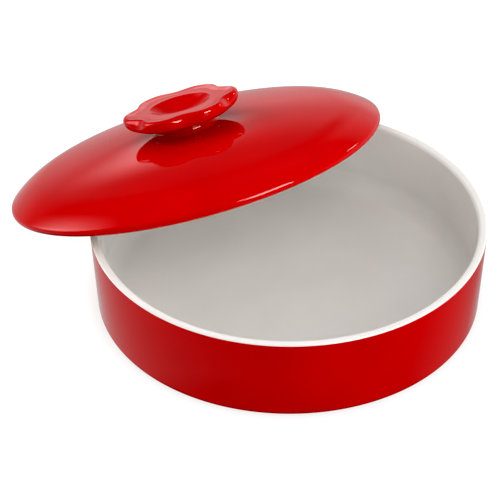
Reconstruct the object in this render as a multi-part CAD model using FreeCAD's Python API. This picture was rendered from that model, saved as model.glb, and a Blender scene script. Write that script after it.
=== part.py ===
"""Round glazed stoneware tortilla warmer: a shallow dish and its low domed lid.

Millimetres, +Z up. The origin is the centre of the dish's foot, on the table.
The lid leans beside the dish: its low edge stands on the table behind the dish
and its hollow rests on the dish's lip.
"""
import FreeCAD
import Part
import math
import os

from FreeCAD import Placement, Rotation, Vector

# ---------------------------------------------------------------- glaze
glaze = 0.4                  # thickness of each fired glaze coat

# ---------------------------------------------------------------- dish
dish_radius = 127.0          # outside of the lip, over the glaze
dish_height = 58.0           # table to the top of the lip, over the glaze
wall_taper = 3.3             # how much narrower the wall is at the table than at the lip
heel_round = 4.0             # rounding where the wall turns under
lip_width = 5.8              # flat width of the lip
lip_round = 1.2              # both edges of the lip
wall_thickening = 2.4        # how much thicker the wall is at the floor than at the lip
floor_height = 7.0           # table to the top of the floor, over the glaze
well_round = 12.0            # inside corner between floor and wall
foot_width = 9.0             # flat width of the bare foot ring
foot_hollow = 1.5            # depth of the hollow inside the foot ring
red_drop = 0.8               # the red coat stops this far below the top of the lip
red_foot_gap = 0.6           # the red coat stops this far above the table

# ---------------------------------------------------------------- lid
lid_overhang = -0.6          # lid radius less dish radius
lid_rise = 26.6              # seat to the top of the crown, over the glaze
crown_radius = 520.0         # curvature of the crown
crown_reach = 100.0          # where the crown meets the steeper shoulder
nose_round = 3.0             # rounding of the lid's edge, over the glaze
crown_thickness = 6.3        # through the crown, over both coats
ring_clearance = 4.0         # locating ring to the dish's bore, all round
ring_width = 7.0             # locating ring, over its inside glaze
ring_depth = 3.2             # locating ring below the seat
ring_round = 1.5             # bottom edges of the locating ring
ring_bare = 2.0              # bare clay at the bottom of the ring's inside
hollow_edge_rise = 6.0       # where the hollow would meet the ring with no rounding
hollow_round = 6.0           # inside corner between hollow and ring

# ---------------------------------------------------------------- knob
knob_rise = 16.5             # top of the crown to the top of the knob
petal_count = 6
petal_radius = 37.6          # mean radius of the knob's scalloped outline
petal_depth = 2.6            # how far the scallops swing about that radius
petal_breadth = 0.2          # how much broader the petals are than the notches between them
plate_thickness = 9.0        # thickness of the scalloped plate
plate_top_round = 3.4        # upper edge of the petals
plate_under_round = 4.6      # lower edge of the petals
rim_width = 5.0              # rolled rim of the petals, round the slightly sunk top face
tray_depth = 0.5             # how far the top face is sunk below the rolled rim
cup_radius = 20.0            # mouth of the cup in the knob's top
cup_depth = 7.0
cup_floor_round = 5.0
cup_mouth_round = 1.6
neck_radius = 20.5           # waist of the neck
neck_flare = 3.8             # how far the neck spreads to the crown and to the plate
vent_radius = 0.9            # steam vent from the cup's floor through the lid

# ---------------------------------------------------------------- how the lid leans
lean_angle = 23.3            # lid's axis from the vertical
lean_bearing = 129.5         # direction in plan in which the lid's low edge lies, from +X
rest_clearance = 0.3         # hollow to the dish's lip

# ---------------------------------------------------------------- how the solids are made
overrun = 1.0                # how far a cutting solid runs past what it cuts
points_per_petal = 8         # points that the scalloped outline is drawn through
tolerance = 0.0001           # lengths under this count as none
level_margin = 0.01          # how far an edge's box may stray from a height that it lies at

# ---------------------------------------------------------------- sizes that follow
red_line = dish_height - red_drop
bore_radius = dish_radius - lip_width
lid_radius = dish_radius + lid_overhang
nose_radius = lid_radius - nose_round        # where the lid's edge reaches lowest
nose_height = nose_round - glaze             # middle of the nose above the seat
ring_outer = bore_radius - ring_clearance
ring_inner = ring_outer - ring_width
hollow_top = lid_rise - crown_thickness
hollow_drop = hollow_top - hollow_edge_rise
hollow_radius = (ring_inner ** 2 + hollow_drop ** 2) / (2 * hollow_drop)
hollow_centre = hollow_top - hollow_radius
crown_centre = lid_rise - crown_radius


# ---------------------------------------------------------------- helpers
def flat(r, z):
    """A point of a half section: r from the axis, z up."""
    return Vector(r, 0, z)


def revolve(edges):
    """The solid that a closed half section sweeps round the Z axis."""
    face = Part.Face(Part.Wire(Part.__sortEdges__(edges)))
    return face.revolve(Vector(0, 0, 0), Vector(0, 0, 1), 360)


def rounded(corners):
    """Edges of a closed half section. Each corner is (r, z, rounding)."""
    count = len(corners)
    edges = []
    ends = []
    for i, (r, z, rounding) in enumerate(corners):
        here = flat(r, z)
        back = (flat(*corners[i - 1][:2]) - here).normalize()
        ahead = (flat(*corners[(i + 1) % count][:2]) - here).normalize()
        if not rounding:
            ends.append((here, here))
            continue
        half = back.getAngle(ahead) / 2
        reach = rounding / math.tan(half)
        start = here + back * reach
        end = here + ahead * reach
        middle = (back + ahead).normalize() * (rounding / math.sin(half) - rounding) + here
        edges.append(Part.Arc(start, middle, end).toShape())
        ends.append((start, end))
    for i in range(count):
        start = ends[i][1]
        end = ends[(i + 1) % count][0]
        if start.distanceToPoint(end) > tolerance:
            edges.append(Part.LineSegment(start, end).toShape())
    return edges


def arc_edge(centre, radius, start, end):
    """Arc about a point of the half section between two angles in radians from +r."""
    def at(angle):
        return centre + flat(math.cos(angle), math.sin(angle)) * radius
    return Part.Arc(at(start), at((start + end) / 2), at(end)).toShape()


def meet(p, p_way, q, q_way):
    """Where two lines of the half section cross."""
    cross = p_way.x * q_way.z - p_way.z * q_way.x
    gap = q - p
    along = (gap.x * q_way.z - gap.z * q_way.x) / cross
    return p + p_way * along


def moved_line(start, end, distance):
    """The line from start to end, moved by distance to its left, as a point and a direction."""
    way = (end - start).normalize()
    return start + flat(-way.z, way.x) * distance, way


def inset_corners(points, distance):
    """Corners of an open run of lines, each line moved by distance to its left."""
    lines = [moved_line(a, b, distance) for a, b in zip(points, points[1:])]
    inner = [meet(*one, *other) for one, other in zip(lines, lines[1:])]
    first = meet(*lines[0], points[0], flat(0, 1))
    last = meet(*lines[-1], points[-1], flat(0, 1))
    return [first] + inner + [last]


def slab(bottom, top, radius):
    """A disc that holds everything between two heights."""
    return Part.makeCylinder(radius, top - bottom, Vector(0, 0, bottom))


# ---------------------------------------------------------------- dish
def dish_run():
    """Outside, lip and inside of the glazed dish as straight lines, from the axis to the axis."""
    wall_inner = bore_radius - wall_thickening
    slope = wall_taper / dish_height
    return [
        flat(0, -glaze),
        flat(dish_radius - slope * (dish_height + glaze), -glaze),
        flat(dish_radius, dish_height),
        flat(bore_radius, dish_height),
        flat(wall_inner, floor_height),
        flat(0, floor_height),
    ]


def dish_form(inset):
    """The dish with its coats, or with that much taken off every surface."""
    roundings = [0, heel_round - inset, lip_round - inset, lip_round - inset, well_round + inset, 0]
    points = inset_corners(dish_run(), inset)
    return revolve(rounded([(p.x, p.z, rounding) for p, rounding in zip(points, roundings)]))


def dish_filled(inset):
    """The same outside with no hollow."""
    points = inset_corners(dish_run(), inset)[:3]
    roundings = [0, heel_round - inset, lip_round - inset]
    corners = [(p.x, p.z, rounding) for p, rounding in zip(points, roundings)]
    return revolve(rounded(corners + [(0, points[2].z, 0)]))


def foot_cut():
    """The shallow hollow inside the foot ring."""
    heel_corner = inset_corners(dish_run(), glaze)[1].x
    inner = heel_corner - heel_round - foot_width
    return revolve(rounded([
        (0, -overrun, 0),
        (inner, -overrun, 0),
        (inner, foot_hollow, foot_hollow / 2),
        (0, foot_hollow, 0),
    ]))


def make_dish():
    """Bare clay dish, its red outside coat and its white liner coat."""
    clay = dish_form(glaze)
    coat = dish_form(0).cut(clay)
    outside = dish_filled(0).cut(dish_filled(glaze))
    outside = outside.common(slab(-overrun, red_line, dish_radius + overrun))
    white = coat.cut(outside)
    red = outside.common(slab(red_foot_gap, dish_height, dish_radius + overrun))
    return clay.cut(foot_cut()), red, white


# ---------------------------------------------------------------- lid, in its own frame, seat at z = 0
def lid_curves(inset):
    """Crown, shoulder and nose of the lid's half section, drawn in by inset."""
    turn = math.asin(crown_reach / crown_radius)
    radial = flat(math.sin(turn), math.cos(turn))
    crown_mid = flat(0, crown_centre)
    join = crown_mid + radial * crown_radius
    nose_mid = flat(nose_radius, nose_height)
    gap = join - nose_mid
    shoulder = (gap.dot(gap) - nose_round ** 2) / (2 * (gap.dot(radial) - nose_round))
    shoulder_mid = join - radial * shoulder
    aim = (nose_mid - shoulder_mid).normalize()
    up = math.pi / 2
    crown_end = math.atan2(radial.z, radial.x)
    shoulder_end = math.atan2(aim.z, aim.x)
    return [
        arc_edge(crown_mid, crown_radius - inset, up, crown_end),
        arc_edge(shoulder_mid, shoulder - inset, crown_end, shoulder_end),
        arc_edge(nose_mid, nose_round - inset, shoulder_end, -up),
    ]


def lid_filled(inset):
    """The lid's outside down to its seat, with no hollow and no locating ring."""
    bottom = inset - glaze
    return revolve(lid_curves(inset) + [
        Part.LineSegment(flat(nose_radius, bottom), flat(0, bottom)).toShape(),
        Part.LineSegment(flat(0, bottom), flat(0, lid_rise - inset)).toShape(),
    ])


def lid_skin():
    """The coat over crown, shoulder and nose, which ends where the nose is lowest."""
    return revolve(lid_curves(0) + lid_curves(glaze) + [
        Part.LineSegment(flat(nose_radius, -glaze), flat(nose_radius, 0)).toShape(),
        Part.LineSegment(flat(0, lid_rise - glaze), flat(0, lid_rise)).toShape(),
    ])


def hollow_air(inset):
    """The air under the lid, grown by inset into the lid."""
    radius = hollow_radius + inset
    side = ring_inner + inset
    rounding = hollow_round + inset
    reach = radius - rounding
    corner_z = hollow_centre + math.sqrt(reach ** 2 - (side - rounding) ** 2)
    corner = flat(side - rounding, corner_z)
    slope = math.atan2(corner_z - hollow_centre, side - rounding)
    low = -ring_depth - overrun
    return revolve([
        arc_edge(flat(0, hollow_centre), radius, math.pi / 2, slope),
        arc_edge(corner, rounding, slope, 0),
        Part.LineSegment(flat(side, corner_z), flat(side, low)).toShape(),
        Part.LineSegment(flat(side, low), flat(0, low)).toShape(),
        Part.LineSegment(flat(0, low), flat(0, hollow_centre + radius)).toShape(),
    ])


def ring_block():
    """The locating ring, run up into the dome's edge."""
    inner = ring_inner + glaze
    return revolve(rounded([
        (inner, -ring_depth, ring_round),
        (ring_outer, -ring_depth, ring_round),
        (ring_outer, nose_height, 0),
        (inner, nose_height, 0),
    ]))


def vent():
    """The narrow hole from the knob's cup down through the crown."""
    low = hollow_top - overrun
    return Part.makeCylinder(vent_radius, lid_rise + knob_rise - low, Vector(0, 0, low))


def make_lid():
    """Bare clay lid, its red outside coat, its white inside coat and its knob."""
    knob = make_knob()
    clay = lid_filled(glaze).fuse(ring_block()).cut(hollow_air(glaze)).cut(vent())
    red = lid_skin().cut(knob).cut(vent())
    white = hollow_air(glaze).cut(hollow_air(0)).cut(vent())
    white = white.common(slab(-ring_depth + ring_bare, lid_rise, ring_outer))
    return clay, red, white, knob


# ---------------------------------------------------------------- knob, in the lid's frame
def petal_outline(z, inset):
    """Scalloped closed curve at a height, drawn in from the knob's edge by inset."""
    points = []
    steps = petal_count * points_per_petal
    for i in range(steps):
        angle = 2 * math.pi * i / steps
        swing = math.cos(petal_count * angle) - petal_breadth * math.cos(2 * petal_count * angle)
        radius = petal_radius - inset + petal_depth * swing
        points.append(Vector(radius * math.cos(angle), radius * math.sin(angle), z))
    curve = Part.BSplineCurve()
    curve.interpolate(points, PeriodicFlag=True)
    return curve.toShape()


def petal_block(bottom, top, inset):
    """A scalloped block between two heights."""
    face = Part.Face(Part.Wire([petal_outline(bottom, inset)]))
    return face.extrude(Vector(0, 0, top - bottom))


def on_level(edge, z):
    """True for an edge that lies all at one height."""
    box = edge.BoundBox
    return abs(box.ZMin - z) < level_margin and abs(box.ZMax - z) < level_margin


def petal_plate():
    """The scalloped plate with rounded edges and a slightly sunk top face."""
    top = lid_rise + knob_rise
    bottom = top - plate_thickness
    plate = petal_block(bottom, top, 0)
    for z, rounding in ((top, plate_top_round), (bottom, plate_under_round)):
        rim = [e for e in plate.Edges if on_level(e, z)]
        plate = plate.makeFillet(rounding, rim)
    return plate.cut(petal_block(top - tray_depth, top + overrun, rim_width))


def neck():
    """The waisted neck between crown and plate, run down into the crown."""
    plate_bottom = lid_rise + knob_rise - plate_thickness
    crown_drop = crown_radius - math.sqrt(crown_radius ** 2 - (neck_radius + neck_flare) ** 2)
    low = lid_rise - glaze - crown_drop
    foot = neck_radius + neck_flare
    middle = (low + plate_bottom) / 2
    waist = Part.Arc(flat(foot, low), flat(neck_radius, middle), flat(foot, plate_bottom)).toShape()
    root = low - overrun
    head = plate_bottom + overrun
    return revolve([
        waist,
        Part.LineSegment(flat(foot, plate_bottom), flat(foot, head)).toShape(),
        Part.LineSegment(flat(foot, head), flat(0, head)).toShape(),
        Part.LineSegment(flat(0, head), flat(0, root)).toShape(),
        Part.LineSegment(flat(0, root), flat(foot, root)).toShape(),
        Part.LineSegment(flat(foot, root), flat(foot, low)).toShape(),
    ])


def cup():
    """The air in the knob's cup, with a softened mouth and a rounded floor."""
    top = lid_rise + knob_rise - tray_depth
    open_top = top + overrun
    floor = top - cup_depth
    mouth_mid = flat(cup_radius + cup_mouth_round, top - cup_mouth_round)
    floor_mid = flat(cup_radius - cup_floor_round, floor + cup_floor_round)
    return revolve([
        Part.LineSegment(flat(0, open_top), flat(mouth_mid.x, open_top)).toShape(),
        Part.LineSegment(flat(mouth_mid.x, open_top), flat(mouth_mid.x, top)).toShape(),
        arc_edge(mouth_mid, cup_mouth_round, math.pi / 2, math.pi),
        Part.LineSegment(flat(cup_radius, mouth_mid.z), flat(cup_radius, floor_mid.z)).toShape(),
        arc_edge(floor_mid, cup_floor_round, 0, -math.pi / 2),
        Part.LineSegment(flat(floor_mid.x, floor), flat(0, floor)).toShape(),
        Part.LineSegment(flat(0, floor), flat(0, open_top)).toShape(),
    ])


def make_knob():
    """Scalloped knob on its neck, with the cup in its top."""
    knob = petal_plate().fuse(neck())
    return knob.cut(lid_filled(glaze)).cut(cup()).cut(vent())


# ---------------------------------------------------------------- places
def leaning_place():
    """Where the lid's frame lies: nose on the table, hollow on the dish's lip."""
    lean = math.radians(lean_angle)
    bearing = math.radians(lean_bearing)
    height = nose_radius * math.sin(lean) - nose_height * math.cos(lean) + nose_round
    sphere_height = height + hollow_centre * math.cos(lean)
    lip_mid_height = dish_height - lip_round
    reach = hollow_radius - lip_round - rest_clearance
    across = math.sqrt(reach ** 2 - (lip_mid_height - sphere_height) ** 2)
    sphere_back = across - (dish_radius - lip_round)
    out = -hollow_centre * math.sin(lean) - sphere_back
    ahead = Vector(math.cos(bearing), math.sin(bearing), 0)
    axis = ahead * math.sin(lean) + Vector(0, 0, math.cos(lean))
    downhill = ahead * math.cos(lean) - Vector(0, 0, math.sin(lean))
    turn = Rotation(downhill, axis.cross(downhill), axis, "ZXY")
    return Placement(ahead * out + Vector(0, 0, height), turn)


def main():
    os.makedirs("parts", exist_ok=True)
    dish, dish_red, dish_white = make_dish()
    lid, lid_red, lid_white, knob = make_lid()
    place = leaning_place()
    pieces = {
        "dish": dish,
        "dish_red_glaze": dish_red,
        "dish_white_glaze": dish_white,
        "lid": lid.transformed(place.toMatrix(), copy=True),
        "lid_red_glaze": lid_red.transformed(place.toMatrix(), copy=True),
        "lid_white_glaze": lid_white.transformed(place.toMatrix(), copy=True),
        "lid_knob": knob.transformed(place.toMatrix(), copy=True),
    }
    for name, shape in pieces.items():
        shape.exportStep("parts/" + name + ".step")


main()
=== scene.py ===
# %% [markdown]
# # A glazed tortilla warmer, piece by piece
#
# The object is a shallow stoneware dish and a low domed lid with a scalloped knob. A potter throws or
# presses both, fires them, dips them in glaze and fires them again. Only the foot and the lid's seat stay
# bare, because glaze would weld them to the kiln shelf. This lesson makes the same pieces in the same order:
# the clay bodies, then the coats of glaze on them, then the colour of the glaze itself.
#
# The solid model gives the frame: where each piece lies and how the two bodies move. It is loaded first.

# %% The frame
import math

import bpy
from mathutils import Matrix, Vector


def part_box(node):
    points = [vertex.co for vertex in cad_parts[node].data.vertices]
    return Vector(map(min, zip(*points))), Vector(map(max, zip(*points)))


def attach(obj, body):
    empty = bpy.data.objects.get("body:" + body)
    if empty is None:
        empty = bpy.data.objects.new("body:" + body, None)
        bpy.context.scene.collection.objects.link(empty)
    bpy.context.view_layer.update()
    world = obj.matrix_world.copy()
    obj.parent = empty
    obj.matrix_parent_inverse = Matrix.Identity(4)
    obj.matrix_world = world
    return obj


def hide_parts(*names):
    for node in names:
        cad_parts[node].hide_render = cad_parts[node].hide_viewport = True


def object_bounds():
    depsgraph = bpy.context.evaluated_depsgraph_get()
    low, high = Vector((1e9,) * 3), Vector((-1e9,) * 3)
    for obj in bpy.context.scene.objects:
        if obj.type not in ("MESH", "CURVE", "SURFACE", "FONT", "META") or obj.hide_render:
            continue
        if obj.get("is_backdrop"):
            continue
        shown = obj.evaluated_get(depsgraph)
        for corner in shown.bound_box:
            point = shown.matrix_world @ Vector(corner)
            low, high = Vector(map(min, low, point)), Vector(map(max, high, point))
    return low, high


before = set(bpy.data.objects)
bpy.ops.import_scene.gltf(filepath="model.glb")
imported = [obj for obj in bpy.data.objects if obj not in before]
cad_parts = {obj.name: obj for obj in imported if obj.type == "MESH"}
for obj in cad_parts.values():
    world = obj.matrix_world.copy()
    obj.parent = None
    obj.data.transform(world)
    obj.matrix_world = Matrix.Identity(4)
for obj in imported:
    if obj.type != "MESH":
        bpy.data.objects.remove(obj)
cad_low, cad_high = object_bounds()

# %% [markdown]
# ## Sizes
#
# The object's lengths are in millimetres, because that is how a potter measures, and become metres where
# Blender is given them. The camera, the sheet and the lamps are placed in metres. The lid has its own
# upright frame with the seat at height 0, and it is leaned against the dish only when it is finished: a
# round thing is easiest to make about the Z axis.

# %% Sizes of the dish, in millimetres
MM = 0.001
GLAZE = 0.4                # thickness of a coat
HAIR = 0.01                # keeps the clay just clear of the inside of its coat
DISH_RADIUS = 127.0        # outside of the lip, over the glaze
DISH_HEIGHT = 58.0
WALL_TAPER = 3.3           # how much narrower the wall is at the table
HEEL_ROUND = 4.0
LIP_WIDTH = 5.8
LIP_ROUND = 1.2
LIP_INNER_ROUND = 2.4      # the liner draws the inner edge softer
WALL_THICKENING = 2.4      # how much thicker the wall is at the floor
FLOOR_HEIGHT = 7.0
WELL_ROUND = 12.0
FOOT_WIDTH = 9.0
FOOT_HOLLOW = 1.5
FOOT_SOFTENING = 0.4       # the wiped inner edge of the foot ring
RED_FOOT_GAP = 0.6         # the red coat stops this far above the table
RED_LIP_GAP = 0.8          # and this far under the top of the lip
BORE_RADIUS = DISH_RADIUS - LIP_WIDTH
print("dish:", 2 * DISH_RADIUS, "mm across, and its bore", round(2 * BORE_RADIUS, 1), "mm")

# %% Sizes of the lid, in its own frame
LID_RADIUS = 126.4
LID_RISE = 26.6            # seat to the top of the crown
CROWN_RADIUS = 520.0
CROWN_REACH = 100.0        # where the crown meets the steeper shoulder
NOSE_ROUND = 3.0
NOSE_RADIUS = LID_RADIUS - NOSE_ROUND        # where the lid's edge reaches lowest
NOSE_HEIGHT = NOSE_ROUND - GLAZE
CROWN_THICKNESS = 6.3
RING_PLAY = 4.0            # room between the ring and the dish's bore
RING_WIDTH = 7.0
RING_OUTER = BORE_RADIUS - RING_PLAY
RING_INNER = RING_OUTER - RING_WIDTH
RING_DEPTH = 3.2
RING_ROUND = 1.5
RING_BARE = 2.0            # the white liner stops this far above the ring's low end
SEAT_ROUND = 0.6
HOLLOW_EDGE_RISE = 6.0
HOLLOW_ROUND = 6.0
HOLLOW_TOP = LID_RISE - CROWN_THICKNESS
HOLLOW_DROP = HOLLOW_TOP - HOLLOW_EDGE_RISE
HOLLOW_RADIUS = (RING_INNER ** 2 + HOLLOW_DROP ** 2) / (2 * HOLLOW_DROP)
print("lid:", 2 * LID_RADIUS, "mm across,", LID_RISE, "mm from the seat to the top of the crown")

# %% Sizes of the knob, in the lid's frame
KNOB_RISE = 16.5           # top of the crown to the top of the knob
PETALS = 6
PETAL_RADIUS = 37.6
PETAL_DEPTH = 2.6
PETAL_BREADTH = 0.2        # the more, the broader the petals and the narrower the notches between them
PLATE_THICKNESS = 9.0
PLATE_TOP_ROUND = 3.4
PLATE_UNDER_ROUND = 4.6
RIM_WIDTH = 5.0
SCALLOP_TOP = 1.2          # below this depth under the top the scallops start to fade
SCALLOP_FADE = 0.85        # how much of them is gone at the underside
TRAY_DEPTH = 0.5
TRAY_STEP = 2.4            # width of the slope from the rolled rim down to the tray
CUP_RADIUS = 20.0
CUP_DEPTH = 7.0
CUP_MOUTH_ROUND = 0.9
NECK_RADIUS = 20.5
NECK_FLARE = 3.8
VENT_RADIUS = 0.9
print("knob:", PETALS, "petals,", KNOB_RISE, "mm above the crown")

# %% How the lid leans
LEAN = math.radians(23.3)
BEARING = math.radians(129.5)      # the way the lid's low edge points, counted from +X towards +Y
REST_CLEARANCE = 0.3               # between the hollow and the dish's lip, in millimetres
print("the lid leans by", round(math.degrees(LEAN), 1), "degrees")

# %% [markdown]
# ## The camera
#
# A product shot like this is taken from well back with a long lens, so that a round dish stays round. The
# camera stands 1.63 m from the foot of the dish, looks down at 37 degrees and is panned a little to one
# side. It comes first, because every later choice is judged through it.

# %% Camera
CAMERA_DISTANCE = 1.63366
CAMERA_RISE = math.radians(37.950)
CAMERA_PAN = math.radians(-1.0976)
CAMERA_TILT = math.radians(36.993)
CAMERA_ROLL = math.radians(-0.2369)
LENS = 180.0
SENSOR = 36.0
FARTHEST = 20.0            # nothing beyond this distance is drawn

ahead = Vector((math.sin(CAMERA_PAN) * math.cos(CAMERA_TILT),
                math.cos(CAMERA_PAN) * math.cos(CAMERA_TILT),
                -math.sin(CAMERA_TILT)))
level = Vector((math.cos(CAMERA_PAN), -math.sin(CAMERA_PAN), 0))
upward = level.cross(ahead)
to_right = level * math.cos(CAMERA_ROLL) + upward * math.sin(CAMERA_ROLL)
to_top = upward * math.cos(CAMERA_ROLL) - level * math.sin(CAMERA_ROLL)
camera_data = bpy.data.cameras.new("camera")
camera_data.lens = LENS
camera_data.sensor_width = SENSOR
camera_data.clip_end = FARTHEST
camera = bpy.data.objects.new("camera", camera_data)
bpy.context.scene.collection.objects.link(camera)
camera.matrix_world = Matrix((to_right, to_top, -ahead)).transposed().to_4x4()
camera.location = (0, -CAMERA_DISTANCE * math.cos(CAMERA_RISE), CAMERA_DISTANCE * math.sin(CAMERA_RISE))
bpy.context.scene.camera = camera
print("camera at", [round(x, 3) for x in camera.location])

# %% [markdown]
# ## Working by hand, in code
#
# Everything round here is turned from a half section, as on a wheel: a row of points is extruded one after
# the other, then spun about the Z axis. A lathe section could also be a curve with a Screw modifier, but a
# spun mesh keeps every edge where it was put, and the two ends of a coat of glaze can be shaped exactly.
#
# An operator works on whatever is selected, so nothing is left to chance: pieces, and the corners, edges and
# faces of a piece, are deselected first and then selected in code.


# %% Selecting and tracing
def nothing_selected():
    """Object mode with nothing selected."""
    if bpy.context.object and bpy.context.object.mode != "OBJECT":
        bpy.ops.object.mode_set(mode="OBJECT")
    bpy.ops.object.select_all(action="DESELECT")


def pick(piece):
    """Object mode with only this piece selected, and active."""
    nothing_selected()
    piece.select_set(True)
    bpy.context.view_layer.objects.active = piece


def choose(piece, kind, test):
    """Edit mode with only the vertices, edges or faces selected that pass the test."""
    pick(piece)
    bpy.ops.object.mode_set(mode="EDIT")
    bpy.ops.mesh.select_mode(type=kind)
    bpy.ops.mesh.select_all(action="DESELECT")
    bpy.ops.object.mode_set(mode="OBJECT")
    parts = {"VERT": piece.data.vertices, "EDGE": piece.data.edges, "FACE": piece.data.polygons}[kind]
    for part in parts:
        part.select = test(part)
    bpy.ops.object.mode_set(mode="EDIT")


def trace(name, points):
    """A row of vertices in millimetres, each extruded from the one before. It ends in edit mode."""
    nothing_selected()
    bpy.ops.mesh.primitive_plane_add(size=MM)
    piece = bpy.context.object
    piece.name = piece.data.name = name
    bpy.ops.object.mode_set(mode="EDIT")
    bpy.ops.mesh.merge(type="CENTER")
    bpy.ops.transform.translate(value=points[0] * MM)
    for here, there in zip(points, points[1:]):
        bpy.ops.mesh.extrude_region_move(TRANSFORM_OT_translate={"value": (there - here) * MM})
    return piece


# %% Closing, and counting what is open
MERGE = 0.000004           # metres; nothing real is this small


def closed():
    """Merges what coincides, drops the loose edge that an axis leaves and turns every face outwards.

    It starts in edit mode and ends in object mode.
    """
    bpy.ops.mesh.select_all(action="SELECT")
    bpy.ops.mesh.remove_doubles(threshold=MERGE)
    bpy.ops.mesh.delete_loose(use_verts=True, use_edges=True, use_faces=False)
    bpy.ops.mesh.select_all(action="SELECT")
    bpy.ops.mesh.normals_make_consistent(inside=False)
    bpy.ops.object.mode_set(mode="OBJECT")


def edge_use(piece):
    """How many faces each edge of a piece has."""
    use = {tuple(sorted(edge.vertices)): 0 for edge in piece.data.edges}
    for face in piece.data.polygons:
        for key in face.edge_keys:
            use[key] += 1
    return use


def open_edges(piece):
    """How many edges don't have exactly two faces. A closed solid has none."""
    return sum(1 for faces in edge_use(piece).values() if faces != 2)


# %% Turning
AROUND = 256               # faces round the dish and the lid
FULL_TURN = 2 * math.pi
SMOOTH_BELOW = math.radians(40)    # an edge that turns by less than this is shaded round


def turned(name, points, around=AROUND):
    """A solid turned about the Z axis from a half section."""
    piece = trace(name, points)
    bpy.ops.mesh.select_all(action="SELECT")
    bpy.ops.mesh.spin(steps=around, angle=FULL_TURN, center=(0, 0, 0), axis=(0, 0, 1))
    closed()
    bpy.ops.object.shade_smooth_by_angle(angle=SMOOTH_BELOW)
    print(f"{name}: {len(piece.data.polygons)} faces, {open_edges(piece)} open edges")
    return piece


# %% [markdown]
# ## Half sections
#
# A section is a list of points: how far from the axis, and how high. Straight runs need only their ends.
# Roundings are arcs, and a coat of glaze is the same section moved by the coat's thickness, so clay and
# glaze fit each other by construction.

# %% Points and arcs
ARC_STEPS = 10
SAME_POINT = 0.001         # millimetres; two points closer than this are one


def at(out, up):
    """A point of a half section."""
    return Vector((out, 0, up))


def arc(centre, radius, start, end, steps=ARC_STEPS):
    """Points of an arc between two angles, counted from outwards towards up."""
    angles = [start + (end - start) * i / steps for i in range(steps + 1)]
    return [centre + at(math.cos(angle), math.sin(angle)) * radius for angle in angles]


def joined(*runs):
    """Runs put end to end, with no point twice in a row."""
    points = [point for run in runs for point in run]
    steps = zip(points, points[1:])
    return points[:1] + [there for here, there in steps if (there - here).length > SAME_POINT]


# %% Runs with rounded corners, moved or cut
def rounded(corners):
    """An open run through corners (out, up, rounding)."""
    runs = []
    for i, (out, up, rounding) in enumerate(corners):
        here = at(out, up)
        if not rounding:
            runs.append([here])
            continue
        back = (at(*corners[i - 1][:2]) - here).normalized()
        onward = (at(*corners[i + 1][:2]) - here).normalized()
        half = back.angle(onward) / 2
        centre = here + (back + onward).normalized() * (rounding / math.sin(half))
        first = here + back * (rounding / math.tan(half)) - centre
        last = here + onward * (rounding / math.tan(half)) - centre
        sweep = first.angle(last)
        shares = [step / ARC_STEPS for step in range(ARC_STEPS + 1)]
        runs.append([centre + (first * math.sin(sweep * (1 - share)) + last * math.sin(sweep * share))
                     / math.sin(sweep) for share in shares])
    return joined(*runs)


def moved(points, distance):
    """The run moved sideways, to the left of the way it goes."""
    result = []
    for i, point in enumerate(points):
        before = (point - points[i - 1]).normalized() if i else None
        after = (points[i + 1] - point).normalized() if i + 1 < len(points) else before
        before = before or after
        left = (at(-before.z, before.x) + at(-after.z, after.x)).normalized()
        result.append(point + left * (distance / left.dot(at(-after.z, after.x))))
    return result


def split(points, height):
    """The run cut in two where it first crosses a height."""
    for i, (here, there) in enumerate(zip(points, points[1:])):
        if (here.z - height) * (there.z - height) < 0:
            cut = here.lerp(there, (height - here.z) / (there.z - here.z))
            return points[:i + 1] + [cut], [cut] + points[i + 1:]
    raise ValueError("the run doesn't cross that height")


# %% [markdown]
# ## The dish
#
# The dish is one body of clay: a flat floor, a nearly upright wall with a flat lip, and a foot ring that
# is wiped clean. It could start as a cylinder with its top inset and pushed in, but the coats need the same
# shape moved by 0.4 mm, and a section gives that for nothing.

# %% Section of the dish, over the glaze
foot_out = DISH_RADIUS - WALL_TAPER * (DISH_HEIGHT + GLAZE) / DISH_HEIGHT
dish_skin = rounded([
    (0, -GLAZE, 0),
    (foot_out, -GLAZE, HEEL_ROUND),
    (DISH_RADIUS, DISH_HEIGHT, LIP_ROUND),
    (BORE_RADIUS, DISH_HEIGHT, LIP_INNER_ROUND),
    (BORE_RADIUS - WALL_THICKENING, FLOOR_HEIGHT, WELL_ROUND),
    (0, FLOOR_HEIGHT, 0),
])
dish_under = moved(dish_skin, GLAZE)
print("dish section:", len(dish_skin), "points")

# %% Clay of the dish
dish_clay_run = moved(dish_skin, GLAZE + HAIR)
foot_in = foot_out - HEEL_ROUND - FOOT_WIDTH
foot = rounded([
    (0, FOOT_HOLLOW, 0),
    (foot_in, FOOT_HOLLOW, FOOT_HOLLOW / 2),
    (foot_in, HAIR, FOOT_SOFTENING),
    (dish_clay_run[1].x, HAIR, 0),
])
dish_clay = turned("dish_clay", joined(foot, dish_clay_run[1:]))

# %% [markdown]
# ## The coats of glaze on the dish
#
# The red coat runs from just above the table to just under the top of the lip. The white liner takes over
# there, goes over the lip and covers the whole inside. Each coat is a thin shell of its own, because that
# is what it is: a layer of glass with a soft edge. A coat could be a Solidify modifier on an open skin, but
# then its two edges would be cut square by the modifier and not where the potter wiped them.

# %% Red and white coats
_, above_foot = split(dish_skin, RED_FOOT_GAP)
_, above_foot_under = split(dish_under, RED_FOOT_GAP)
red_line = DISH_HEIGHT - RED_LIP_GAP
red_face, white_face = split(above_foot, red_line)
red_back, white_back = split(above_foot_under, red_line)
dish_red_coat = turned("dish_red_coat", joined(red_face, red_back[::-1], red_face[:1]))
dish_white_coat = turned("dish_white_coat", joined(white_face, white_back[::-1], white_face[:1]))

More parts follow.
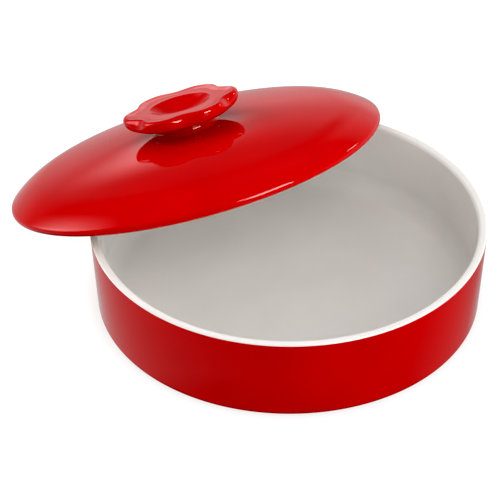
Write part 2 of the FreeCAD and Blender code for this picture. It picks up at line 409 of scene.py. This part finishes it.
# %% [markdown]
# ## The lid
#
# The lid is a flat dome. Its crown is part of a very large sphere, the shoulder turns down faster, and a
# small nose closes the edge. Underneath, a ring drops into the dish and keeps the lid from sliding. A
# flattened sphere could be the dome, but three arcs can meet without a corner, which matters on gloss: a
# corner that the eye can't see in the shape still breaks the reflection.

# %% Section of the dome, over the glaze
# The shoulder's circle touches the crown's where the crown ends, and it also touches the nose's, which lies
# inside it. That leaves one radius for it.
CROWN_STEPS = 30
SHOULDER_STEPS = 24
NOSE_STEPS = 16
lean_out = math.asin(CROWN_REACH / CROWN_RADIUS)
spoke = at(math.sin(lean_out), math.cos(lean_out))
crown_mid = at(0, LID_RISE - CROWN_RADIUS)
crown_end = crown_mid + spoke * CROWN_RADIUS
nose_mid = at(NOSE_RADIUS, NOSE_HEIGHT)
gap = crown_end - nose_mid
shoulder_radius = (gap.dot(gap) - NOSE_ROUND ** 2) / (2 * (gap.dot(spoke) - NOSE_ROUND))
shoulder_mid = crown_end - spoke * shoulder_radius
aim = nose_mid - shoulder_mid
shoulder_end = math.atan2(aim.z, aim.x)


def dome(start_out, inset=0):
    """The outside of the lid from a distance off the axis, over the shoulder and round the nose."""
    radius = CROWN_RADIUS - inset
    crown_stop = math.pi / 2 - lean_out
    crown = arc(crown_mid, radius, math.acos(start_out / radius), crown_stop, CROWN_STEPS)
    shoulder = arc(shoulder_mid, shoulder_radius - inset, crown_stop, shoulder_end, SHOULDER_STEPS)
    nose = arc(nose_mid, NOSE_ROUND - inset, shoulder_end, -math.pi / 2, NOSE_STEPS)
    return joined(crown, shoulder, nose)


print("shoulder radius:", round(shoulder_radius, 1), "mm")

# %% Section of the hollow under the lid
ROOF_STEPS = 30
hollow_mid = at(0, HOLLOW_TOP - HOLLOW_RADIUS)


def hollow(low, inset=0):
    """The inside of the lid from the ring up to the vent, moved into the lid by inset."""
    radius = HOLLOW_RADIUS + inset
    side = RING_INNER + inset
    rounding = HOLLOW_ROUND + inset
    corner_out = side - rounding
    corner = at(corner_out, hollow_mid.z + math.sqrt((radius - rounding) ** 2 - corner_out ** 2))
    slope = math.atan2(corner.z - hollow_mid.z, corner_out)
    turn_in = arc(corner, rounding, 0, slope)
    roof = arc(hollow_mid, radius, slope, math.acos(VENT_RADIUS / radius), ROOF_STEPS)
    return joined([at(side, low)], turn_in, roof)


print("hollow radius:", round(HOLLOW_RADIUS, 1), "mm")

# %% Clay of the lid, with its seat and its ring
bare = GLAZE + HAIR
liner_low = -RING_DEPTH + RING_BARE
nose_low = dome(VENT_RADIUS, bare)[-1]
ring = rounded([
    (nose_low.x, nose_low.z, 0),
    (RING_OUTER, nose_low.z, SEAT_ROUND),
    (RING_OUTER, -RING_DEPTH, RING_ROUND),
    (RING_INNER + GLAZE, -RING_DEPTH, RING_ROUND),
    (RING_INNER + GLAZE, liner_low, 0),
])
clay_section = joined(dome(VENT_RADIUS, bare), ring, hollow(liner_low + HAIR, bare))
lid_clay = turned("lid_clay", joined(clay_section, clay_section[:1]))

# %% White coat inside the lid
liner = joined(hollow(liner_low), hollow(liner_low, GLAZE)[::-1])
lid_white_coat = turned("lid_white_coat", joined(liner, liner[:1]))

# %% [markdown]
# ## The neck of the knob, and the red coat round it
#
# The red coat is dipped after the knob is stuck on, so it ends where the neck begins. The neck is a waist:
# one arc through its foot, its narrowest place and its top. A Boolean could cut the coat along the neck, but
# the coat's inner edge can be worked out from that arc, and then no gap shows.

# %% Section of the neck
neck_foot = NECK_RADIUS + NECK_FLARE
plate_bottom = LID_RISE + KNOB_RISE - PLATE_THICKNESS
crown_drop = CROWN_RADIUS - math.sqrt(CROWN_RADIUS ** 2 - neck_foot ** 2)
neck_low = LID_RISE - GLAZE - crown_drop
neck_half = (plate_bottom - neck_low) / 2
neck_arc_radius = (neck_half ** 2 + NECK_FLARE ** 2) / (2 * NECK_FLARE)
neck_mid = at(NECK_RADIUS + neck_arc_radius, neck_low + neck_half)


def neck_out(height):
    """How far the neck's surface is from the axis at a height."""
    return neck_mid.x - math.sqrt(neck_arc_radius ** 2 - (height - neck_mid.z) ** 2)


print("neck:", round(2 * neck_half, 1), "mm high, with a waist of radius", round(neck_arc_radius, 1), "mm")

# %% Red coat of the lid
coat_face = dome(neck_out(neck_low + GLAZE))
coat_back = dome(neck_foot, GLAZE)
lid_red_coat = turned("lid_red_coat", joined(coat_face, coat_back[::-1], coat_face[:1]))

# %% [markdown]
# ## The knob
#
# The knob is a thick plate with six petals, a rolled rim and a shallow cup for the fingertip. A turned
# section can't have petals, so it is made in two halves. The cup, the vent, the foot and the neck are
# turned. The plate starts as one petal's outline, spun six times round, filled, extruded and bevelled. The
# petals are pressed from above and fade towards the underside, so each lower loop of the plate is drawn
# closer to a circle. Both halves have the same number of points round, so they bridge without a twist.

# %% Cup, vent, foot and neck, turned
# The cup is part of a sphere, and its mouth is rounded. The two arcs meet without a corner.
STEPS_PER_PETAL = 32
BOWL_STEPS = 20
FOOT_STEPS = 4
WAIST_STEPS = 20
knob_around = PETALS * STEPS_PER_PETAL
plate_top = LID_RISE + KNOB_RISE
tray = plate_top - TRAY_DEPTH
cup_floor = tray - CUP_DEPTH
mouth_mid = at(CUP_RADIUS + CUP_MOUTH_ROUND, tray - CUP_MOUTH_ROUND)
bowl_slope = 2 * math.atan(CUP_DEPTH / mouth_mid.x)
bowl_radius = mouth_mid.x / math.sin(bowl_slope) - CUP_MOUTH_ROUND
mouth = arc(mouth_mid, CUP_MOUTH_ROUND, math.pi / 2, math.pi / 2 + bowl_slope)
bowl = arc(at(0, cup_floor + bowl_radius), bowl_radius, bowl_slope - math.pi / 2,
           math.asin(VENT_RADIUS / bowl_radius) - math.pi / 2, BOWL_STEPS)
knob_foot = arc(crown_mid, CROWN_RADIUS - GLAZE, math.acos(VENT_RADIUS / CROWN_RADIUS),
                math.acos(neck_foot / CROWN_RADIUS), FOOT_STEPS)
flare = math.asin(neck_half / neck_arc_radius)
waist = arc(neck_mid, neck_arc_radius, math.pi + flare, math.pi - flare, WAIST_STEPS)
core_section = joined(mouth, bowl, knob_foot, waist)
knob = turned("petal_knob", core_section, knob_around)


# %% One petal's outline, spun six times and filled
def petal_out(angle):
    """How far the knob's outline is from its axis."""
    wave = math.cos(PETALS * angle) - PETAL_BREADTH * math.cos(2 * PETALS * angle)
    return PETAL_RADIUS + PETAL_DEPTH * wave


def petal_point(step):
    """A point of the first petal's outline, at the height of the plate's underside."""
    angle = FULL_TURN * (step / knob_around)
    out = petal_out(angle)
    return Vector((out * math.cos(angle), out * math.sin(angle), plate_bottom))


half_petal = STEPS_PER_PETAL // 2
plate = trace("petal_plate", [petal_point(step) for step in range(-half_petal, half_petal + 1)])
bpy.ops.mesh.select_all(action="SELECT")
bpy.ops.mesh.spin(steps=PETALS, angle=FULL_TURN, center=(0, 0, 0), axis=(0, 0, 1), dupli=True)
bpy.ops.mesh.select_all(action="SELECT")
bpy.ops.mesh.remove_doubles(threshold=MERGE)
bpy.ops.mesh.edge_face_add()
bpy.ops.mesh.extrude_region_move(TRANSFORM_OT_translate={"value": (0, 0, PLATE_THICKNESS * MM)})
closed()
print("petal plate:", len(plate.data.vertices), "vertices,", len(plate.data.polygons), "faces")


# %% Finding edges and faces by their place
LEVEL_DIGITS = 2                   # heights are told apart to a hundredth of a millimetre
LEVEL_STEP = 10 ** -LEVEL_DIGITS


def same_level(place, height):
    """True for a place in metres that lies at a height in millimetres."""
    return abs(place.z / MM - height) < LEVEL_STEP


def on_level(piece, height):
    """A test for edges that lie at one height, in millimetres."""
    def test(edge):
        return all(same_level(piece.data.vertices[v].co, height) for v in edge.vertices)
    return test


def whole_outline(face):
    """True for the plate's flat top and bottom, which have a corner for every point of the outline."""
    return len(face.vertices) == knob_around


def whole_top(face):
    """True for the plate's flat top."""
    return whole_outline(face) and face.normal.z > 0


# %% Rounded edges, rolled rim and tray
TOP_SEGMENTS = 9
UNDER_SEGMENTS = 11
CIRCULAR = 0.5                     # the bevel profile that is part of a circle
flat_rim = RIM_WIDTH - PLATE_TOP_ROUND - TRAY_STEP / 2
choose(plate, "EDGE", on_level(plate, plate_top))
bpy.ops.mesh.bevel(offset=PLATE_TOP_ROUND * MM, segments=TOP_SEGMENTS, profile=CIRCULAR, affect="EDGES")
choose(plate, "EDGE", on_level(plate, plate_bottom))
bpy.ops.mesh.bevel(offset=PLATE_UNDER_ROUND * MM, segments=UNDER_SEGMENTS, profile=CIRCULAR, affect="EDGES")
choose(plate, "FACE", whole_top)
bpy.ops.mesh.inset(thickness=flat_rim * MM)
bpy.ops.mesh.inset(thickness=TRAY_STEP * MM, depth=-TRAY_DEPTH * MM)
nothing_selected()
print("plate with its rim and tray:", len(plate.data.vertices), "vertices")

# %% The scallops fade towards the underside
fade_from = plate_top - SCALLOP_TOP


def at_height(level):
    """A test for vertices at one height, in millimetres."""
    return lambda vertex: same_level(vertex.co, level)


levels = sorted({round(vertex.co.z / MM, LEVEL_DIGITS) for vertex in plate.data.vertices})
faded = [level for level in levels if level < fade_from]
for level in faded:
    choose(plate, "VERT", at_height(level))
    share = (fade_from - level) / (fade_from - plate_bottom)
    bpy.ops.transform.tosphere(value=SCALLOP_FADE * share)
print(len(faded), "loops of the plate rounded, the lowest by", SCALLOP_FADE)

# %% The plate opened above and below, and bridged to the turned half
BRIDGE_CUTS = 3
choose(plate, "FACE", whole_outline)
bpy.ops.mesh.delete(type="FACE")
pick(knob)
plate.select_set(True)
bpy.ops.object.join()


def on_open_edge(height):
    """A test for edges at one height, in millimetres, that have only one face."""
    nothing_selected()
    use = edge_use(knob)
    level_with = on_level(knob, height)
    return lambda edge: use[tuple(sorted(edge.vertices))] == 1 and level_with(edge)


for height in (tray, plate_bottom):
    choose(knob, "EDGE", on_open_edge(height))
    bpy.ops.mesh.bridge_edge_loops(number_cuts=BRIDGE_CUTS, interpolation="LINEAR")
closed()
bpy.ops.object.shade_smooth()
print("knob:", len(knob.data.polygons), "faces,", open_edges(knob), "open edges")

# %% [markdown]
# ## Leaning the lid
#
# The lid stands behind the dish with its edge on the table and rests on the dish's lip. It could be moved
# there by eye, but then it would float or sink in a little. Its place follows from the shapes: the hollow is
# part of a sphere and the lip is a circle, so the distance between the sphere's centre and the lip's nearest
# point gives how far out the lid stands.


# %% Leaning place
def leaning_place():
    """The lid's frame in the dish's frame: columns are downhill, sideways and the lid's axis."""
    height = NOSE_RADIUS * math.sin(LEAN) - NOSE_HEIGHT * math.cos(LEAN) + NOSE_ROUND
    sphere_height = height + hollow_mid.z * math.cos(LEAN)
    reach = HOLLOW_RADIUS - LIP_ROUND - REST_CLEARANCE
    across = math.sqrt(reach ** 2 - (DISH_HEIGHT - LIP_ROUND - sphere_height) ** 2)
    out = -hollow_mid.z * math.sin(LEAN) - (across - (DISH_RADIUS - LIP_ROUND))
    away = Vector((math.cos(BEARING), math.sin(BEARING), 0))
    axis = away * math.sin(LEAN) + Vector((0, 0, math.cos(LEAN)))
    downhill = away * math.cos(LEAN) - Vector((0, 0, math.sin(LEAN)))
    place = Matrix((downhill, axis.cross(downhill), axis)).transposed().to_4x4()
    place.translation = (away * out + Vector((0, 0, height))) * MM
    return place


lid_place = leaning_place()
for piece in (lid_clay, lid_red_coat, lid_white_coat, knob):
    pick(piece)
    piece.matrix_world = lid_place
    bpy.ops.object.transform_apply(location=True, rotation=True, scale=True)
print("lid's frame stands at", [round(x, 4) for x in lid_place.translation])

# %% [markdown]
# ## The finishes
#
# Glaze is coloured glass over clay. Its colour is deep and even, it mirrors what is round it, and it is
# never quite flat: it drew into slow waves as it melted. A Principled shader does the glass and a faint
# bump does the waves. The bare clay has no glass on it, so it is rough, with a fine tooth.
#
# A picture wrapped round each piece could carry all this, but noise needs no unwrapping. It is measured in
# metres on the piece itself, so waves and tooth have their real size wherever the piece stands.

# %% Node helpers
NOISE_LOW = 0.3            # noise seldom goes below this
NOISE_HIGH = 0.7           # or above this


def new_material(name):
    """A material with its nodes, its links and its Principled shader."""
    made = bpy.data.materials.new(name)
    made.use_nodes = True
    shader = made.node_tree.nodes["Principled BSDF"]
    return made, made.node_tree.nodes, made.node_tree.links, shader


def noise(nodes, links, scale, detail=2.0, roughness=0.5):
    """Noise over the piece's own coordinates. The scale is in lumps per metre."""
    place = nodes.new("ShaderNodeTexCoord")
    texture = nodes.new("ShaderNodeTexNoise")
    texture.inputs["Scale"].default_value = scale
    texture.inputs["Detail"].default_value = detail
    texture.inputs["Roughness"].default_value = roughness
    links.new(place.outputs["Object"], texture.inputs["Vector"])
    return texture.outputs["Fac"]


def between(nodes, links, factor, low, high, start=NOISE_LOW, end=NOISE_HIGH):
    """A value that runs from low to high as the factor runs from start to end."""
    mapped = nodes.new("ShaderNodeMapRange")
    mapped.inputs["From Min"].default_value = start
    mapped.inputs["From Max"].default_value = end
    mapped.inputs["To Min"].default_value = low
    mapped.inputs["To Max"].default_value = high
    links.new(factor, mapped.inputs["Value"])
    return mapped.outputs["Result"]


def blended(nodes, links, factor, first, second):
    """A colour between two colours."""
    mixed = nodes.new("ShaderNodeMix")
    mixed.data_type = "RGBA"
    mixed.inputs["A"].default_value = (*first, 1)
    mixed.inputs["B"].default_value = (*second, 1)
    links.new(factor, mixed.inputs["Factor"])
    return mixed.outputs["Result"]


def bumped(nodes, links, shader, height, distance, under=None):
    """A bump of a real height in metres, over another bump if one is given."""
    bump = nodes.new("ShaderNodeBump")
    bump.inputs["Strength"].default_value = 1.0
    bump.inputs["Distance"].default_value = distance
    links.new(height, bump.inputs["Height"])
    if under:
        links.new(under.outputs["Normal"], bump.inputs["Normal"])
    links.new(bump.outputs["Normal"], shader.inputs["Normal"])
    return bump


# %% Red and white glaze
# Shades run from where the glaze gathered to where it drew thin. Lumps are counted per metre, and heights
# are in metres.
RED_LOOK = {
    "shades": ((0.585, 0.0010, 0.0022), (0.64, 0.0016, 0.0030)),
    "shade_lumps": 22,
    "roughness": (0.03, 0.05),
    "roughness_lumps": 60,
    "ior": 1.42,
    "wave_lumps": 16,
    "wave_height": 0.00012,
    "ripple_lumps": 120,
}
WHITE_LOOK = {
    "shades": ((0.81, 0.79, 0.77), (0.84, 0.82, 0.80)),
    "shade_lumps": 25,
    "roughness": (0.14, 0.20),
    "roughness_lumps": 70,
    "ior": 1.40,
    "wave_lumps": 18,
    "wave_height": 0.00010,
    "ripple_lumps": 140,
}
RIPPLE_HEIGHT = 0.000006
WAVE_DETAIL = 1            # noise with little fine detail in it, for smooth waves


def glaze(name, look):
    """A glaze that is a little deeper where it gathered, with slow waves and a fine ripple over them."""
    made, nodes, links, shader = new_material(name)
    depth = between(nodes, links, noise(nodes, links, look["shade_lumps"]), 0, 1)
    links.new(blended(nodes, links, depth, *look["shades"]), shader.inputs["Base Color"])
    softness = between(nodes, links, noise(nodes, links, look["roughness_lumps"]), *look["roughness"])
    links.new(softness, shader.inputs["Roughness"])
    shader.inputs["IOR"].default_value = look["ior"]
    wave = noise(nodes, links, look["wave_lumps"], WAVE_DETAIL)
    waved = bumped(nodes, links, shader, wave, look["wave_height"])
    ripple = noise(nodes, links, look["ripple_lumps"], WAVE_DETAIL)
    bumped(nodes, links, shader, ripple, RIPPLE_HEIGHT, waved)
    return made


finishes = {"red_glaze": glaze("red_glaze", RED_LOOK), "white_glaze": glaze("white_glaze", WHITE_LOOK)}
print("glazes:", ", ".join(finishes))

# %% Bare stoneware
CLAY_SHADES = ((0.62, 0.53, 0.42), (0.70, 0.62, 0.51))
CLAY_ROUGHNESS = 0.85
GRAIN_LUMPS = 90
GRAIN_DETAIL = 4
TOOTH_LUMPS = 1500
TOOTH_DETAIL = 3
TOOTH_ROUGHNESS = 0.6
TOOTH_HEIGHT = 0.00012


def stoneware():
    """Bare fired clay: buff, matte and a little uneven in colour, with a fine tooth."""
    made, nodes, links, shader = new_material("stoneware")
    grain = between(nodes, links, noise(nodes, links, GRAIN_LUMPS, GRAIN_DETAIL), 0, 1)
    links.new(blended(nodes, links, grain, *CLAY_SHADES), shader.inputs["Base Color"])
    shader.inputs["Roughness"].default_value = CLAY_ROUGHNESS
    tooth = noise(nodes, links, TOOTH_LUMPS, TOOTH_DETAIL, TOOTH_ROUGHNESS)
    bumped(nodes, links, shader, tooth, TOOTH_HEIGHT)
    return made


finishes["stoneware"] = stoneware()
print("bare clay: tooth of", round(TOOTH_HEIGHT / MM, 2), "mm")

# %% [markdown]
# ## What rides on what
#
# Each modelled piece now takes the place of its solid, and moves with the dish or with the lid. The rows
# could be calls one by one, but a table shows at a glance what belongs to which body. Each piece's box is
# set against its solid's, so that a slip shows in print.


# %% Pieces, their solids, bodies and finishes
def corners(piece):
    """The low and the high corner of a piece's own box."""
    places = [vertex.co for vertex in piece.data.vertices]
    return [Vector(map(end, zip(*places))) for end in (min, max)]


rows = [
    (dish_clay, "dish", "dish", "stoneware"),
    (dish_red_coat, "dish_red_glaze", "dish", "red_glaze"),
    (dish_white_coat, "dish_white_glaze", "dish", "white_glaze"),
    (lid_clay, "lid", "lid", "stoneware"),
    (lid_red_coat, "lid_red_glaze", "lid", "red_glaze"),
    (lid_white_coat, "lid_white_glaze", "lid", "white_glaze"),
    (knob, "lid_knob", "lid", "red_glaze"),
]
for piece, node, body, finish in rows:
    piece.data.materials.clear()
    piece.data.materials.append(finishes[finish])
    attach(piece, body)
    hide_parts(node)
    low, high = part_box(node)
    own_low, own_high = corners(piece)
    off = max(abs(x) for x in (*(own_low - low), *(own_high - high)))
    print(f"{piece.name} stands for {node}, corners within {off / MM:.3f} mm")

# %% [markdown]
# ## Floor and light
#
# Gloss shows its surroundings, so the studio is designed as much as the object. The object stands on a
# white sheet that glows by itself, with a painted contact shadow: it glows a little less right round the
# foot, where a real sheet lies in shadow.
# The sheet is only seen: it is neither mirrored nor a source of light. What the gloss mirrors is the sky,
# and its lower half stands for the room below the table. One painted panorama could do the same, but
# separate layers, each with its own height, side and strength, can be moved one at a time.
#
# The lamps are of two kinds. Two are there to be mirrored: they draw the thin bright line along the lid's
# near edge and the small sparks on the knob. Four large ones give the light itself, and nothing mirrors
# them, because each would lay a pale square on the lid.

# %% Glowing sheet
WHITE = (1, 1, 1, 1)
SHEET_SIZE = 12.0
SHEET_GREY = (0.16, 0.16, 0.16, 1)
SHEET_ROUGHNESS = 0.9
SHEET_GLOSS = 0.1
SHEET_GLOW = 0.95
# Painted contact shadow: the sheet's glow is lowered right round the foot, where a real sheet lies in
# shadow.
FOOT_SHADOW_GLOW = 0.80                   # the sheet's glow where it meets the foot
FOOT_SHADOW_SPAN = (0.122, 0.134)        # metres from the middle between which the glow grows
nothing_selected()
bpy.ops.mesh.primitive_plane_add(size=SHEET_SIZE)
floor = bpy.context.object
floor.name = "floor"
sheet, nodes, links, shader = new_material("white_sheet")
shader.inputs["Base Color"].default_value = SHEET_GREY
shader.inputs["Roughness"].default_value = SHEET_ROUGHNESS
shader.inputs["Specular IOR Level"].default_value = SHEET_GLOSS
shader.inputs["Emission Color"].default_value = WHITE
place = nodes.new("ShaderNodeTexCoord")
from_middle = nodes.new("ShaderNodeVectorMath")
from_middle.operation = "LENGTH"
links.new(place.outputs["Object"], from_middle.inputs[0])
# The glow dims towards the foot: this is the painted contact shadow.
glow = between(nodes, links, from_middle.outputs["Value"], FOOT_SHADOW_GLOW, SHEET_GLOW, *FOOT_SHADOW_SPAN)
links.new(glow, shader.inputs["Emission Strength"])
floor.data.materials.append(sheet)
floor.visible_glossy = False
floor.visible_diffuse = False
floor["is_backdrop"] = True
print("sheet:", SHEET_SIZE, "m wide, glowing", FOOT_SHADOW_GLOW, "at the foot and", SHEET_GLOW, "further out")

# %% Lamps
# Bearing and rise in degrees, distance in metres, width and height in degrees, radiance.
MIRRORED = {
    "key": (48, 48, 1.6, 30, 34, 15),
    "kicker": (137, 29, 1.5, 12, 8, 8),
}
UNMIRRORED = {
    "high_fill": (50, 54, 1.6, 30, 25, 0.95),
    "front_fill": (10, 30, 1.8, 60, 60, 1.0),
    "right_fill": (92, 16, 1.8, 50, 50, 2.05),
    "back_fill": (-142, 38, 1.8, 50, 50, 0.85),
}
AIM_HEIGHT = 0.05                  # metres above the table


def towards(bearing, rise):
    """A direction. Bearing 0 is in front, towards the camera, and 90 is to the right."""
    turn, up = math.radians(bearing), math.radians(rise)
    return Vector((math.sin(turn) * math.cos(up), -math.cos(turn) * math.cos(up), math.sin(up)))


def span(distance, angle):
    """How wide a thing is that fills an angle in degrees when it is seen from a distance."""
    return 2 * distance * math.tan(math.radians(angle) / 2)


def softbox(name, bearing, rise, distance, wide, tall, radiance):
    """An area light that looks at the object. Its power is pi times its radiance times its area."""
    data = bpy.data.lights.new(name, "AREA")
    data.shape = "RECTANGLE"
    data.size = span(distance, wide)
    data.size_y = span(distance, tall)
    data.energy = radiance * math.pi * data.size * data.size_y
    lamp = bpy.data.objects.new(name, data)
    bpy.context.scene.collection.objects.link(lamp)
    lamp.location = towards(bearing, rise) * distance + Vector((0, 0, AIM_HEIGHT))
    lamp.rotation_mode = "QUATERNION"
    lamp.rotation_quaternion = towards(bearing, rise).to_track_quat("Z", "Y")
    print(name, "softbox:", round(data.energy, 1), "W")
    return lamp


for name, setting in MIRRORED.items():
    softbox(name, *setting).visible_diffuse = False
for name, setting in UNMIRRORED.items():
    softbox(name, *setting).visible_glossy = False

# %% Layers of the sky
# Stops are (height, grey), with height 0 at the horizon and 1 straight up. Depth is the same downwards. A
# turn gives the places between which a layer changes, from -1 at the far left to 1 at the far right.
OVERHEAD = ((0.0, 0.36), (0.20, 0.33), (0.35, 0.34), (0.50, 0.45), (0.70, 0.65), (1.0, 0.80))
BAND = ((0.0, 1.0), (0.07, 0.80), (0.11, 0.45), (0.16, 0.12), (0.20, 0.0))
BAND_SIDES = (0.03, 0.48)              # strength of the band at the horizon, left and right
BAND_TURN = (-0.35, 0.35)
PANEL = ((0.0, 0.0), (0.08, 0.16), (0.16, 0.38), (0.28, 0.34), (0.37, 0.24), (0.46, 0.0))
PANEL_TURN = (0.05, 0.17)              # the panel hangs to the right of this soft edge
BRINK = ((0.0, 0.0), (0.04, 0.03), (0.09, 0.10), (0.16, 0.17), (0.24, 0.13), (0.40, 0.06), (1.0, 0.12))
GROUND_SIDES = (0.30, -0.48)           # light added below on the left, and taken away on the right
GROUND_TURN = (-0.35, 0.45)
GROUND_DEPTH = (0.18, 0.45)            # it grows to its full strength between these depths
FOOT_DARK = 0.15                       # what is left of the light from straight below, where the foot stands
FOOT_DEPTH = (0.72, 0.84)              # it falls to that between these depths
ROUND_LIGHTS = (                       # bearing, rise, full inside, gone outside (degrees), strength
    (-108, 15, 6, 34, 5.0),
    (-166.5, 2.5, 2, 9, 1.0),
    (-169.5, -2.5, 2, 6, 0.85),
)
print("round lights in the sky:", len(ROUND_LIGHTS))

# %% Sky, and what its layers are made with
sky = bpy.data.worlds.new("sky")
bpy.context.scene.world = sky
sky.use_nodes = True
nodes, links = sky.node_tree.nodes, sky.node_tree.links
way = nodes.new("ShaderNodeTexCoord").outputs["Generated"]
parts = nodes.new("ShaderNodeSeparateXYZ")
links.new(way, parts.inputs["Vector"])
aside, height = parts.outputs["X"], parts.outputs["Z"]
depth = between(nodes, links, height, 0, 1, 0, -1)


def maths(operation, first, second):
    """The result of a Math node on two sockets."""
    node = nodes.new("ShaderNodeMath")
    node.operation = operation
    links.new(first, node.inputs[0])
    links.new(second, node.inputs[1])
    return node.outputs["Value"]


def along(factor, stops):
    """A grey that follows a factor from 0 to 1 through stops (position, grey)."""
    ramp = nodes.new("ShaderNodeValToRGB")
    stones = ramp.color_ramp.elements
    while len(stones) < len(stops):
        stones.new(1.0)
    for stone, (position, grey) in zip(stones, stops):
        stone.position = position
        stone.color = (grey, grey, grey, 1)
    links.new(factor, ramp.inputs["Fac"])
    return ramp.outputs["Color"]


def round_light(bearing, rise, inner, outer, strength):
    """A round light in the sky, which fades outwards as the cube of a straight slope."""
    facing = nodes.new("ShaderNodeVectorMath")
    facing.operation = "DOT_PRODUCT"
    links.new(way, facing.inputs[0])
    facing.inputs[1].default_value = towards(bearing, rise)
    outside, inside = math.cos(math.radians(outer)), math.cos(math.radians(inner))
    share = between(nodes, links, facing.outputs["Value"], 0, strength ** (1 / 3), outside, inside)
    return maths("MULTIPLY", maths("MULTIPLY", share, share), share)


# %% All layers put together
band = maths("MULTIPLY", along(height, BAND), between(nodes, links, aside, *BAND_SIDES, *BAND_TURN))
panel = maths("MULTIPLY", along(height, PANEL), between(nodes, links, aside, 0, 1, *PANEL_TURN))
ground = maths("MULTIPLY", between(nodes, links, depth, 0, 1, *GROUND_DEPTH),
               between(nodes, links, aside, *GROUND_SIDES, *GROUND_TURN))
layers = [along(height, OVERHEAD), band, panel, along(depth, BRINK), ground]
layers += [round_light(*setting) for setting in ROUND_LIGHTS]
total = layers[0]
for layer in layers[1:]:
    total = maths("ADD", total, layer)
under = between(nodes, links, depth, 1, FOOT_DARK, *FOOT_DEPTH)
links.new(maths("MULTIPLY", total, under), nodes["Background"].inputs["Strength"])
nodes["Background"].inputs["Color"].default_value = WHITE
print("sky of", len(layers), "layers,", len(nodes), "nodes")

# %% [markdown]
# ## Tones
#
# A product shot is printed with deeper blacks and more contrast than the eye meets at the table. A finished
# picture could be corrected afterwards, but the view settings give every view of the scene the same tones.

# %% Black point and contrast
BLACK_POINT = 0.03         # light below this prints as none
CONTRAST = 1.25
view = bpy.context.scene.view_settings
view.view_transform = "Standard"
view.gamma = 1 / CONTRAST
view.use_curve_mapping = True
view.curve_mapping.black_level = (BLACK_POINT,) * 3
view.curve_mapping.update()
print("gamma:", round(view.gamma, 2), "black point:", BLACK_POINT)

# %% [markdown]
# ## The end
#
# The size of the finished model is printed beside the solid model's. Both boxes
# could be compared by eye, but a printed number shows a slip of a tenth of a millimetre.

# %% Sizes
low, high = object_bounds()
size = [round(x / MM, 2) for x in high - low]
solids_size = [round(x / MM, 2) for x in cad_high - cad_low]
print("size:", size, "mm, solids:", solids_size)
